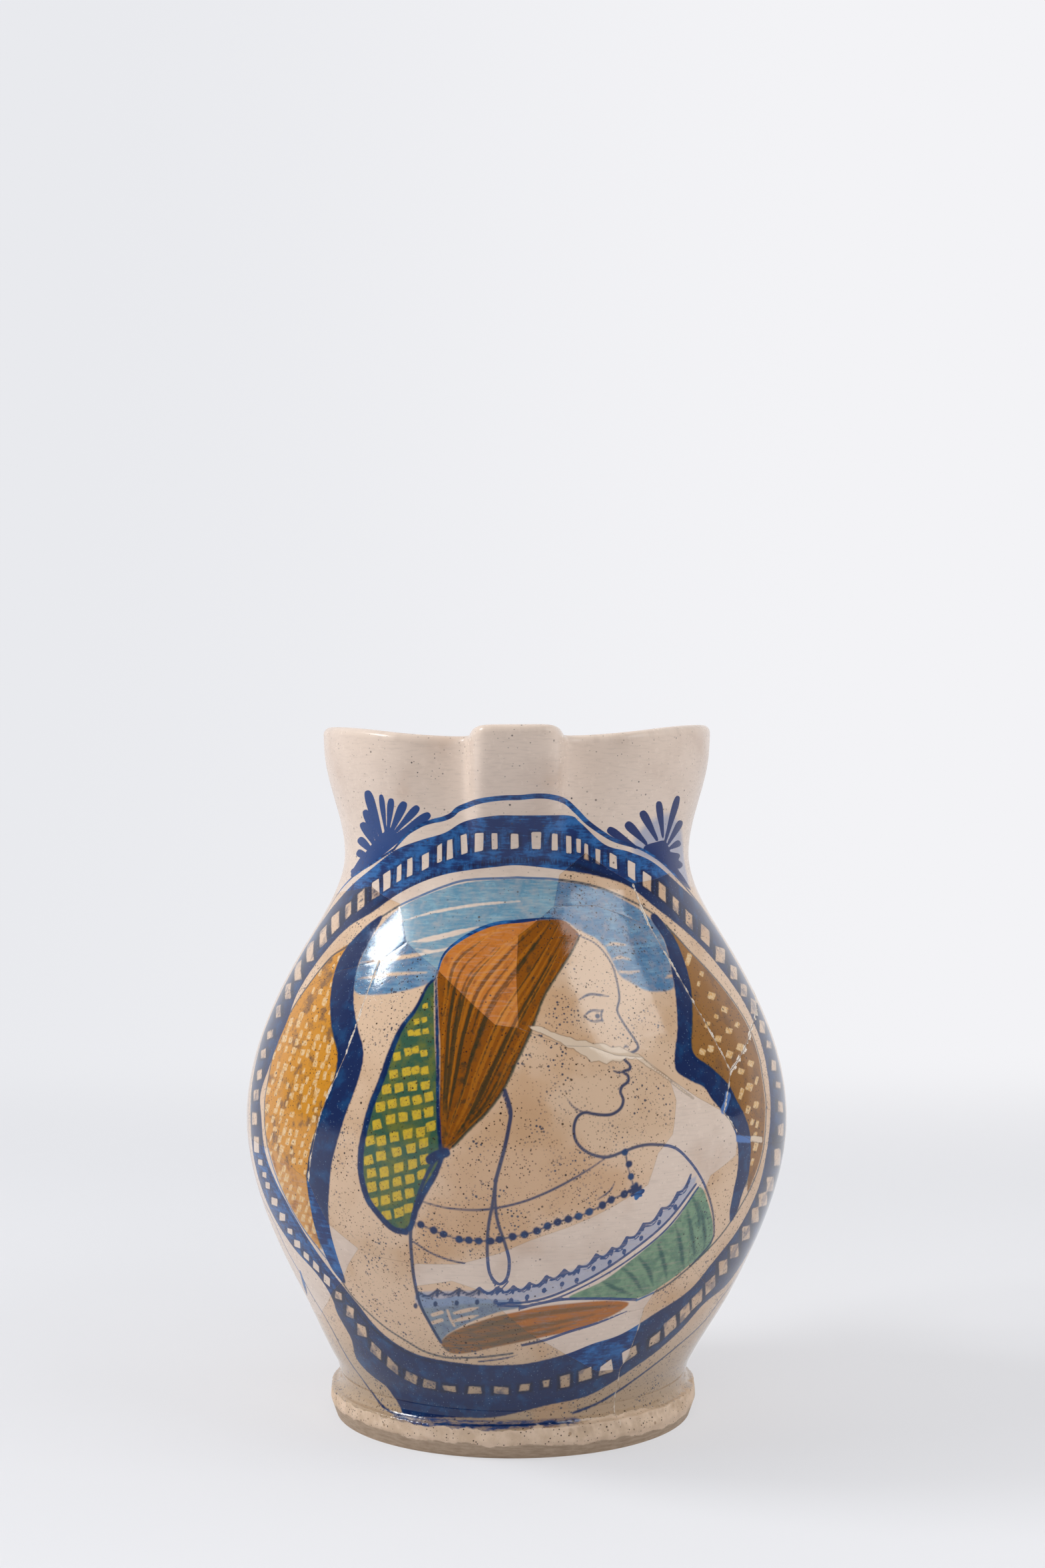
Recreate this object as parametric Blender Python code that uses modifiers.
"""Maiolica jug, mended from sherds and plaster fills.

The wall is a turned body whose round waist changes into a trefoil mouth. It is parted
along its break lines into sherds and fills, with a hairline between neighbours. The foot
with the floor and the strap handle are pieces of their own.

Metres, +Z up. The origin is where the body's axis meets the foot's underside; the
spout faces -Y.
"""

import math
import random

import bmesh
import bpy
from mathutils import Vector
from mathutils.bvhtree import BVHTree

# Clearance between pieces that touch
GAP = 0.0003

# Foot: a flat base, an undercut band, a rounded lip and a hollow sweep up to the waist.
# It sits a little to the left of the body's axis, as the potter joined it.
BASE_RADIUS = 0.0620
FOOT_RADIUS = 0.0640
FOOT_BAND_HEIGHT = 0.0056
FOOT_LIP_HEIGHT = 0.0102
FOOT_LIP_ROUNDING = 0.0010
FOOT_HEIGHT = 0.015
FOOT_SHIFT = 0.0013
SHIFT_START = 0.022
SHIFT_RISE = 0.022
BASE_EDGE = 0.0008
FLOOR_THICKNESS = 0.008
FLOOR_COVE = 0.008

# Wall: radii of the outer side, and the rise from each station to the next
WAIST_RADIUS = 0.0597
BELLY_RADIUS = 0.0943
SHOULDER_RADIUS = 0.0746
NECK_RADIUS = 0.0601
MOUTH_RADIUS = 0.0674
RIM_RADIUS = 0.0678
BELLY_RISE = 0.089
SHOULDER_RISE = 0.058
NECK_RISE = 0.033
MOUTH_RISE = 0.035
RIM_RISE = 0.0086
WALL_THICKNESS = 0.005
SLANT_LIMIT = 1.6

# Slope of the outer side at each station, as change of radius for each unit of height
WAIST_FLARE = 0.53
SHOULDER_FLARE = -0.60
MOUTH_FLARE = 0.08
RIM_FLARE = 0.02

# Trefoil mouth: a spout between two pinches, flattened side lobes and back
SPOUT_REACH = 0.008
SPOUT_SPREAD = 13.6
SPOUT_BLUNTNESS = 6
PINCH_DEPTH = 0.010
PINCH_ANGLE = 20.0
PINCH_SPREAD = 15.0
SIDE_FLAT = 0.003
SIDE_ANGLE = 50.0
SIDE_SPREAD = 22.0
BACK_FLAT = 0.006
BACK_SPREAD = 45.0
PINCH_START = 0.005

# Height of the rim: the spout and the side lobes rise, the pinches and the back dip
SPOUT_LIFT = 0.0012
LOBE_LIFT = 0.0010
LOBE_ANGLE = 80.0
LOBE_SPREAD = 34.0
PINCH_DROP = 0.0026
PINCH_DROP_SPREAD = 26.0
BACK_DROP = 0.0040
BACK_DROP_SPREAD = 62.0
RIM_LEAN = 0.0004

# Handle: a grooved strap from under the rim to the belly
HANDLE_WIDTH = 0.032
HANDLE_THICKNESS = 0.010
HANDLE_GROOVE = 0.0014
HANDLE_GROOVE_SHARE = 0.16
HANDLE_BLUNTNESS = 0.7
HANDLE_REACH = 0.036
HANDLE_TOP_DROP = 0.014
HANDLE_FOOT_DROP = 0.010
HANDLE_ROOT_FLARE = 1.2

# Break lines
JAG_STEP = 0.011
JAG_DEPTH = 0.0006
CRACK_REACH = 0.004
CRACK_END = 0.6

# Fineness of the meshes
COLUMNS = 60
FRONT_CROWDING = 0.5
OUTER_ROWS = 22
LIP_ROWS = 4
INNER_ROWS = 11

BELLY_HEIGHT = FOOT_HEIGHT + BELLY_RISE
SHOULDER_HEIGHT = BELLY_HEIGHT + SHOULDER_RISE
NECK_HEIGHT = SHOULDER_HEIGHT + NECK_RISE
MOUTH_HEIGHT = NECK_HEIGHT + MOUTH_RISE
RIM_HEIGHT = MOUTH_HEIGHT + RIM_RISE

STATIONS = [
    (FOOT_HEIGHT, WAIST_RADIUS, WAIST_FLARE),
    (BELLY_HEIGHT, BELLY_RADIUS, 0.0),
    (SHOULDER_HEIGHT, SHOULDER_RADIUS, SHOULDER_FLARE),
    (NECK_HEIGHT, NECK_RADIUS, 0.0),
    (MOUTH_HEIGHT, MOUTH_RADIUS, MOUTH_FLARE),
    (RIM_HEIGHT, RIM_RADIUS, RIM_FLARE),
]

# Places where break lines meet: degrees from the spout, share of the wall's height
JUNCTIONS = {
    "neck_left": (-30.5, 0.688),
    "parting": (0.5, 0.576),
    "sky": (11.0, 0.741),
    "neck_right": (39.0, 0.770),
    "neck_back_right": (95.0, 0.772),
    "neck_back_left": (268.0, 0.737),
    "temple": (40.4, 0.708),
    "fork": (50.5, 0.498),
    "fork_foot": (46.0, 0.443),
    "lip": (32.5, 0.500),
    "panel_corner": (49.8, 0.411),
    "dress": (41.0, 0.223),
    "hem": (31.7, 0.159),
    "hem_left": (2.6, 0.134),
    "base_crack": (31.0, 0.058),
    "bodice": (-22.0, 0.237),
    "shoulder_left": (-37.0, 0.661),
    "frame_left": (-46.5, 0.342),
    "sleeve_left": (-35.5, 0.250),
    "edge_left_high": (-95.0, 0.603),
    "edge_left_mid": (-97.0, 0.393),
    "edge_left_low": (-95.0, 0.085),
    "edge_right_high": (97.0, 0.603),
    "edge_right_mid": (99.0, 0.433),
    "edge_right_low": (101.0, 0.098),
}

# Each break runs through these junctions and free points
BREAKS = {
    "left_edge": [
        "neck_back_left", "edge_left_high", "edge_left_mid", (-96.0, 0.246),
        "edge_left_low", (-94.0, -0.03),
    ],
    "right_edge": [
        "neck_back_right", "edge_right_high", "edge_right_mid", (101.0, 0.268),
        "edge_right_low", (100.0, -0.03),
    ],
    "left_shoulder": [
        "edge_left_high", (-76.0, 0.589), (-60.5, 0.612), (-50.0, 0.641),
        "shoulder_left", "neck_left",
    ],
    "left_frame": [
        "shoulder_left", (-37.5, 0.576), (-38.3, 0.531), (-39.7, 0.498),
        (-42.4, 0.446), (-44.1, 0.400), "frame_left",
    ],
    "left_belly": [
        "edge_left_mid", (-72.0, 0.375), (-58.0, 0.375), "frame_left",
        (-42.6, 0.281), "sleeve_left", (-30.0, 0.241), "bodice",
    ],
    "left_low": [
        "sleeve_left", (-44.0, 0.190), (-55.0, 0.143), (-66.0, 0.107), "edge_left_low",
    ],
    "sky_crack": ["sky", (24.0, 0.741), "temple"],
    "right_crack": [
        "neck_right", "temple", (42.0, 0.674), (45.0, 0.600), "fork", "fork_foot",
        "panel_corner",
    ],
    "right_fork": ["fork", (65.3, 0.549), (82.0, 0.585), "edge_right_high"],
    "cheek": [
        "parting", (10.5, 0.551), (16.0, 0.549), (21.0, 0.536), (27.0, 0.531), "lip",
    ],
    "chin": ["lip", (39.0, 0.469), "fork_foot"],
    "chest": [
        "lip", (33.5, 0.469), (32.0, 0.422), (28.5, 0.397), (26.5, 0.353),
        (19.5, 0.326), (10.0, 0.297), (-3.7, 0.259), (-12.0, 0.241), "bodice",
    ],
    "right_panel": ["panel_corner", (60.0, 0.381), (77.8, 0.371), "edge_right_mid"],
    "right_dress": [
        "panel_corner", (49.5, 0.377), (42.0, 0.354), (38.0, 0.290), "dress",
        (34.0, 0.192), "hem",
    ],
    "right_low": [
        "dress", (52.0, 0.174), (65.0, 0.129), (84.0, 0.112), "edge_right_low",
    ],
    "lace": [
        "bodice", (-23.0, 0.201), (-14.0, 0.214), (-8.0, 0.201), "hem_left",
        (12.0, 0.129), (24.0, 0.154), "hem",
    ],
    "hem_edge": ["hem_left", (13.0, 0.094), (23.0, 0.060), "base_crack"],
    "foot_crack": ["hem", (32.0, 0.078), "base_crack", (32.5, 0.025), (33.0, -0.03)],
}

# The plaster neck's lower edge goes all the way round, with a tongue over the hair
NECK_EDGE = [
    "neck_back_left", (-70.0, 0.750), (-52.0, 0.763), (-37.0, 0.741), "neck_left",
    (-19.5, 0.652), (-8.0, 0.598), (-4.5, 0.580), "parting", (0.0, 0.647),
    (0.5, 0.701), "sky", (13.5, 0.786), (22.4, 0.817), "neck_right", (58.0, 0.781),
    (75.0, 0.754), "neck_back_right", (125.0, 0.741), (150.0, 0.763), (180.0, 0.737),
    (210.0, 0.750), (240.0, 0.723),
]

# Each wall piece: a place on it, and its kind of surface
WALL_PIECES = {
    "neck_fill": ((60.0, 0.90), "plaster"),
    "left_shoulder_sherd": ((-60.0, 0.69), "glaze"),
    "left_panel_sherd": ((-65.0, 0.50), "glaze"),
    "left_fill": ((-65.0, 0.25), "plaster"),
    "portrait_sherd": ((-10.0, 0.45), "glaze"),
    "border_sherd": ((28.0, 0.77), "glaze"),
    "brow_sherd": ((25.0, 0.62), "glaze"),
    "right_shoulder_sherd": ((65.0, 0.65), "glaze"),
    "right_panel_sherd": ((70.0, 0.47), "glaze"),
    "right_belly_sherd": ((65.0, 0.27), "glaze"),
    "chest_fill": ((30.0, 0.28), "plaster"),
    "hem_fill": ((25.0, 0.11), "plaster"),
    "lower_left_sherd": ((-20.0, 0.10), "glaze"),
    "lower_right_sherd": ((65.0, 0.06), "glaze"),
    "back_sherd": ((180.0, 0.40), "glaze"),
}


def clear_scene():
    for item in list(bpy.data.objects):
        bpy.data.objects.remove(item, do_unlink=True)


def new_collection(name):
    collection = bpy.data.collections.new(name)
    bpy.context.scene.collection.children.link(collection)
    return collection


def add_object(name, data, collection):
    item = bpy.data.objects.new(name, data)
    collection.objects.link(item)
    return item


def evaluated_mesh(item):
    bpy.context.view_layer.update()
    graph = bpy.context.evaluated_depsgraph_get()
    return bpy.data.meshes.new_from_object(item.evaluated_get(graph))


def ceramic(name, colour, roughness):
    material = bpy.data.materials.new(name)
    material.use_nodes = True
    shader = material.node_tree.nodes["Principled BSDF"]
    shader.inputs["Base Color"].default_value = (*colour, 1.0)
    shader.inputs["Roughness"].default_value = roughness
    shader.inputs["Metallic"].default_value = 0.0
    return material


def smooth_step(value):
    value = min(max(value, 0.0), 1.0)
    return value * value * (3.0 - 2.0 * value)


def bump(value, centre, spread):
    return math.exp(-(((value - centre) / spread) ** 2))


def round_radius(height):
    """Radius of the turned outer side: smooth curves from station to station."""
    height = min(max(height, FOOT_HEIGHT), RIM_HEIGHT)
    for (z0, r0, m0), (z1, r1, m1) in zip(STATIONS, STATIONS[1:]):
        if height <= z1:
            break
    rise = z1 - z0
    u = (height - z0) / rise
    return (
        (2 * u**3 - 3 * u**2 + 1) * r0
        + (u**3 - 2 * u**2 + u) * rise * m0
        + (3 * u**2 - 2 * u**3) * r1
        + (u**3 - u**2) * rise * m1
    )


def from_spout(angle):
    """Degrees from the spout, 0 to 180, for an angle in radians."""
    return abs((math.degrees(angle) + 180.0) % 360.0 - 180.0)


def spout_share(a):
    """1 across the blunt front of the spout, falling to 0 at the pinches."""
    return math.exp(-((a / SPOUT_SPREAD) ** SPOUT_BLUNTNESS))


def trefoil(angle):
    """How far the mouth's edge is pushed out or in at this angle."""
    a = from_spout(angle)
    spout = spout_share(a)
    pinch = PINCH_DEPTH * bump(a, PINCH_ANGLE, PINCH_SPREAD) * (1.0 - spout)
    side = SIDE_FLAT * bump(a, SIDE_ANGLE, SIDE_SPREAD)
    back = BACK_FLAT * bump(a, 180.0, BACK_SPREAD)
    return SPOUT_REACH * spout - pinch - side - back


def outer_radius(angle, height):
    start = NECK_HEIGHT - PINCH_START
    share = smooth_step((height - start) / (RIM_HEIGHT - start))
    shift = FOOT_SHIFT * (1.0 - smooth_step((height - SHIFT_START) / SHIFT_RISE))
    return round_radius(height) + share * trefoil(angle) - shift * math.sin(angle)


def inner_radius(angle, height):
    """Set in from the outer side by the wall, measured square to the surface."""
    step = 0.0005
    along = 0.01
    radius = outer_radius(angle, height)
    upward = outer_radius(angle, height + step) - outer_radius(angle, height - step)
    around = outer_radius(angle + along, height) - outer_radius(angle - along, height)
    slope = math.hypot(upward / (2 * step), around / (2 * along * radius))
    return radius - WALL_THICKNESS * min(math.hypot(1.0, slope), SLANT_LIMIT)


def rim_top(angle):
    a = from_spout(angle)
    spout = spout_share(a)
    lobe = LOBE_LIFT * bump(a, LOBE_ANGLE, LOBE_SPREAD)
    pinch = PINCH_DROP * bump(a, PINCH_ANGLE, PINCH_DROP_SPREAD) * (1.0 - spout)
    back = BACK_DROP * bump(a, 180.0, BACK_DROP_SPREAD)
    lean = RIM_LEAN * math.sin(angle)
    return RIM_HEIGHT + SPOUT_LIFT * spout + lobe - pinch - back + lean


def at(angle, radius, height):
    """A point at an angle from the spout, which faces -Y."""
    return Vector((radius * math.sin(angle), -radius * math.cos(angle), height))


def column_angles():
    """Angles of the wall's columns, closer together at the spout."""
    for i in range(COLUMNS):
        turn = 2.0 * math.pi * i / COLUMNS
        yield turn - FRONT_CROWDING * math.sin(turn)


def wall_section(angle):
    """The wall's closed outline at one angle: up the outside, over the lip, down inside."""
    lip = WALL_THICKNESS / 2.0
    top = rim_top(angle) - lip
    points = []
    for row in range(OUTER_ROWS + 1):
        height = FOOT_HEIGHT + (top - FOOT_HEIGHT) * row / OUTER_ROWS
        points.append((outer_radius(angle, height), height))
    outer, inner = points[-1][0], inner_radius(angle, top)
    for row in range(1, LIP_ROWS):
        turn = math.pi * row / LIP_ROWS
        radius = (outer + inner) / 2.0 + (outer - inner) / 2.0 * math.cos(turn)
        points.append((radius, top + lip * math.sin(turn)))
    for row in range(INNER_ROWS + 1):
        height = top + (FOOT_HEIGHT - top) * row / INNER_ROWS
        points.append((inner_radius(angle, height), height))
    return points


def loft(name, sections, collection, closed):
    """Skin sections that stand at the column angles; closed joins each one's two ends."""
    shape = bmesh.new()
    columns = []
    for angle, section in sections:
        columns.append([shape.verts.new(at(angle, r, z)) for r, z in section])
    count = len(columns[0])
    for near, far in zip(columns, columns[1:] + columns[:1]):
        for i in range(count if closed else count - 1):
            j = (i + 1) % count
            shape.faces.new((near[i], far[i], far[j], near[j]))
    if not closed:
        shape.faces.new([column[0] for column in columns])
        shape.faces.new([column[-1] for column in columns])
    bmesh.ops.recalc_face_normals(shape, faces=shape.faces)
    bmesh.ops.triangulate(shape, faces=[f for f in shape.faces if len(f.verts) == 4])
    mesh = bpy.data.meshes.new(name)
    shape.to_mesh(mesh)
    shape.free()
    return add_object(name, mesh, collection)


def break_point(place):
    """(angle, height) of a junction's name or of a (degrees, share) pair."""
    degrees, share = JUNCTIONS[place] if isinstance(place, str) else place
    return math.radians(degrees), FOOT_HEIGHT + share * (RIM_HEIGHT - FOOT_HEIGHT)


def turn_between(a, b):
    return (b - a + math.pi) % (2.0 * math.pi) - math.pi


def break_path(name, places, closed):
    """The break's points with small jags between the places it runs through."""
    jags = random.Random(name)
    corners = [break_point(place) for place in places]
    if closed:
        corners.append(corners[0])
    path = [corners[0]]
    for (a0, z0), (a1, z1) in zip(corners, corners[1:]):
        radius = outer_radius((a0 + a1) / 2.0, (z0 + z1) / 2.0)
        across, up = turn_between(a0, a1) * radius, z1 - z0
        length = math.hypot(across, up)
        steps = max(1, round(length / JAG_STEP))
        for k in range(1, steps):
            side = jags.uniform(-JAG_DEPTH, JAG_DEPTH)
            x = across * k / steps - up / length * side
            z = up * k / steps + across / length * side
            path.append((a0 + x / radius, z0 + z))
        path.append((a1, z1))
    return path[:-1] if closed else path


def crack(name, places, collection, closed=False):
    """A radial sheet, GAP thick, that runs along a break and right through the wall."""
    path = break_path(name, places, closed)
    count = len(path)
    half = GAP / 2.0
    sides = []
    for i, (angle, height) in enumerate(path):
        radius = outer_radius(angle, height)
        runs = []
        for j in (i - 1, i):
            if closed or 0 <= j < count - 1:
                (a0, z0), (a1, z1) = path[j], path[(j + 1) % count]
                run = Vector((turn_between(a0, a1) * radius, z1 - z0))
                runs.append(run.normalized())
        mean = sum(runs, Vector((0.0, 0.0))).normalized()
        width = half / max(mean.dot(runs[0]), 0.5)
        end = 0.0
        if not closed:
            end = -half if i == 0 else half if i == count - 1 else 0.0
        around = Vector((math.cos(angle), math.sin(angle), 0.0))
        upward = Vector((0.0, 0.0, 1.0))
        outside = at(angle, radius + CRACK_REACH, height)
        inside = at(angle, radius - 2.0 * WALL_THICKNESS - CRACK_REACH, height)
        past = (around * mean.x + upward * mean.y) * end * CRACK_END
        across = (upward * mean.x - around * mean.y) * width
        sides.append([outside + past + across, inside + past + across,
                      inside + past - across, outside + past - across])
    shape = bmesh.new()
    rings = [[shape.verts.new(point) for point in side] for side in sides]
    if closed:
        rings.append(rings[0])
    for near, far in zip(rings, rings[1:]):
        for i in range(4):
            j = (i + 1) % 4
            shape.faces.new((near[i], near[j], far[j], far[i]))
    if not closed:
        shape.faces.new(rings[0])
        shape.faces.new(rings[-1])
    bmesh.ops.recalc_face_normals(shape, faces=shape.faces)
    bmesh.ops.triangulate(shape, faces=shape.faces)
    mesh = bpy.data.meshes.new(name)
    shape.to_mesh(mesh)
    shape.free()
    return add_object(name, mesh, collection)


def cut(target, cutter, operation="DIFFERENCE"):
    modifier = target.modifiers.new(cutter.name, "BOOLEAN")
    modifier.operation = operation
    modifier.solver = "EXACT"
    modifier.object = cutter


def hide_cutter(item):
    item.hide_render = True
    item.display_type = "WIRE"


def loose_shapes(mesh):
    """The mesh's separate bodies, each as a bmesh of its own."""
    whole = bmesh.new()
    whole.from_mesh(mesh)
    left = set(whole.verts)
    shapes = []
    while left:
        stack = [left.pop()]
        body = set(stack)
        while stack:
            for edge in stack.pop().link_edges:
                for vertex in edge.verts:
                    if vertex in left:
                        left.discard(vertex)
                        body.add(vertex)
                        stack.append(vertex)
        part = whole.copy()
        keep = {vertex.index for vertex in body}
        part.verts.ensure_lookup_table()
        bmesh.ops.delete(part, geom=[v for v in part.verts if v.index not in keep])
        shapes.append(part)
    whole.free()
    return shapes


def middle_of_wall(place):
    angle, height = break_point(place)
    radius = (outer_radius(angle, height) + inner_radius(angle, height)) / 2.0
    return at(angle, radius, height)


def wall_pieces(parts, cutters, materials):
    """Part the whole wall along its breaks and name each body by a place on it."""
    sections = [(angle, wall_section(angle)) for angle in column_angles()]
    wall = loft("whole_wall", sections, cutters, closed=True)
    cracks = [crack("neck_edge", NECK_EDGE, cutters, closed=True)]
    cracks += [crack(name, places, cutters) for name, places in BREAKS.items()]
    for cutter in cracks:
        cut(wall, cutter)
        hide_cutter(cutter)
    shapes = loose_shapes(evaluated_mesh(wall))
    hide_cutter(wall)
    trees = [BVHTree.FromBMesh(shape) for shape in shapes]
    for name, (place, kind) in WALL_PIECES.items():
        point = middle_of_wall(place)
        reach = [tree.find_nearest(point)[3] for tree in trees]
        shape = shapes[reach.index(min(reach))]
        mesh = bpy.data.meshes.new(name)
        shape.to_mesh(mesh)
        finish_piece(name, mesh, parts, materials[kind])


def finish_piece(name, mesh, parts, material):
    """Put the piece's origin at its middle and give it its material."""
    low = [min(v.co[k] for v in mesh.vertices) for k in range(3)]
    high = [max(v.co[k] for v in mesh.vertices) for k in range(3)]
    middle = (Vector(low) + Vector(high)) / 2.0
    for vertex in mesh.vertices:
        vertex.co -= middle
    mesh.materials.clear()
    mesh.materials.append(material)
    mesh.shade_smooth()
    mesh.set_sharp_from_angle(angle=math.radians(35.0))
    item = add_object(name, mesh, parts)
    item.location = middle
    return item


def arc_points(middle, half, start, stop, steps):
    """Points of an elliptic arc between two angles in degrees, without its first one."""
    points = []
    for step in range(1, steps + 1):
        turn = math.radians(start + (stop - start) * step / steps)
        points.append((middle[0] + half[0] * math.cos(turn),
                       middle[1] + half[1] * math.sin(turn)))
    return points


def foot(parts, material):
    """Floor and foot, turned in one: the profile runs from the floor's middle outwards."""
    top = FOOT_HEIGHT - GAP
    inner = inner_radius(0.0, FOOT_HEIGHT)
    rounding = FOOT_LIP_ROUNDING
    lip = FOOT_RADIUS - rounding
    profile = [(0.0, FLOOR_THICKNESS), (inner - FLOOR_COVE, FLOOR_THICKNESS)]
    profile += arc_points((inner - FLOOR_COVE, top), (FLOOR_COVE, FLOOR_THICKNESS - top),
                          90.0, 0.0, 3)
    profile.append((WAIST_RADIUS, top))
    profile += arc_points((lip, top), (WAIST_RADIUS - lip, FOOT_LIP_HEIGHT - top),
                          0.0, 90.0, 5)
    profile += arc_points((lip, FOOT_LIP_HEIGHT - rounding), (rounding, rounding),
                          90.0, 0.0, 2)
    profile += [
        (FOOT_RADIUS, FOOT_BAND_HEIGHT),
        (BASE_RADIUS + BASE_EDGE, BASE_EDGE),
        (BASE_RADIUS, 0.0),
        (0.0, 0.0),
    ]
    mesh = bpy.data.meshes.new("foot")
    points = [(r, 0.0, z) for r, z in profile]
    mesh.from_pydata(points, [(i, i + 1) for i in range(len(points) - 1)], [])
    item = add_object("foot", mesh, parts)
    item.location.x = -FOOT_SHIFT
    screw = item.modifiers.new("turn", "SCREW")
    screw.steps = COLUMNS
    screw.render_steps = COLUMNS
    screw.use_merge_vertices = True
    screw.merge_threshold = 0.0001
    screw.use_smooth_shade = False
    mesh.materials.append(material)
    return item


def strap_outline(cutters):
    """Half oval strap: flat underside, rounded edges and a groove down the middle."""
    curve = bpy.data.curves.new("strap_outline", "CURVE")
    curve.dimensions = "2D"
    spline = curve.splines.new("POLY")
    points = []
    for step in range(20):
        turn = 2.0 * math.pi * step / 20
        x = HANDLE_WIDTH / 2.0 * math.cos(turn)
        side = math.sin(turn)
        lift = math.copysign(abs(side) ** HANDLE_BLUNTNESS, side)
        y = HANDLE_THICKNESS / 2.0 * lift
        if y > 0.0:
            y -= HANDLE_GROOVE * bump(x, 0.0, HANDLE_WIDTH * HANDLE_GROOVE_SHARE)
        points.append((x, y, 0.0, 1.0))
    spline.points.add(len(points) - 1)
    for point, place in zip(spline.points, points):
        point.co = place
    spline.use_cyclic_u = True
    return add_object("strap_outline", curve, cutters)


def handle(parts, cutters, material):
    """The strap springs from under the rim, arches out and comes down on the belly."""
    back = math.pi
    top = RIM_HEIGHT - HANDLE_TOP_DROP
    low = BELLY_HEIGHT + HANDLE_FOOT_DROP
    neck_y = outer_radius(back, top)
    belly_y = outer_radius(back, low)
    reach = BELLY_RADIUS + HANDLE_REACH - HANDLE_THICKNESS / 2.0
    rise = top - low
    places = [
        (neck_y - WALL_THICKNESS, top - 0.02 * rise),
        (neck_y + (reach - neck_y) * 0.52, top - 0.03 * rise),
        (reach - 0.04 * HANDLE_REACH, top - 0.27 * rise),
        (reach - 0.14 * HANDLE_REACH, top - 0.62 * rise),
        (belly_y + 0.42 * HANDLE_REACH, low + 0.14 * rise),
        (belly_y - WALL_THICKNESS, low - 0.02 * rise),
    ]
    curve = bpy.data.curves.new("handle_path", "CURVE")
    curve.dimensions = "3D"
    curve.bevel_mode = "OBJECT"
    outline = strap_outline(cutters)
    curve.bevel_object = outline
    curve.use_fill_caps = True
    curve.resolution_u = 6
    spline = curve.splines.new("BEZIER")
    spline.bezier_points.add(len(places) - 1)
    for i, (point, (y, z)) in enumerate(zip(spline.bezier_points, places)):
        point.co = (0.0, y, z)
        point.handle_left_type = point.handle_right_type = "AUTO"
        point.radius = HANDLE_ROOT_FLARE if i in (0, len(places) - 1) else 1.0
    path = add_object("handle_path", curve, cutters)
    strap = bmesh.new()
    strap.from_mesh(evaluated_mesh(path))
    bpy.data.objects.remove(path, do_unlink=True)
    hide_cutter(outline)
    bmesh.ops.remove_doubles(strap, verts=strap.verts, dist=0.00001)
    bmesh.ops.recalc_face_normals(strap, faces=strap.faces)
    bmesh.ops.triangulate(strap, faces=strap.faces)
    mesh = bpy.data.meshes.new("handle")
    strap.to_mesh(mesh)
    strap.free()
    mesh.materials.append(material)
    item = add_object("handle", mesh, parts)

    sections = []
    for angle in column_angles():
        section = []
        for row in range(OUTER_ROWS + 1):
            height = FOOT_HEIGHT + (rim_top(angle) - FOOT_HEIGHT) * row / OUTER_ROWS
            section.append((outer_radius(angle, height) + GAP, height))
        sections.append((angle, section))
    envelope = loft("body_envelope", sections, cutters, closed=False)
    cut(item, envelope)
    hide_cutter(envelope)
    mesh.shade_smooth()
    mesh.set_sharp_from_angle(angle=math.radians(35.0))
    return item


def build():
    clear_scene()
    parts = new_collection("Maiolica jug")
    cutters = new_collection("Cutters and guides")
    materials = {
        "glaze": ceramic("tin_glaze", (0.62, 0.47, 0.34), 0.25),
        "plaster": ceramic("painted_plaster", (0.66, 0.54, 0.45), 0.45),
        "clay": ceramic("bare_clay", (0.38, 0.31, 0.24), 0.85),
    }
    wall_pieces(parts, cutters, materials)
    foot(parts, materials["clay"])
    handle(parts, cutters, materials["glaze"])


build()
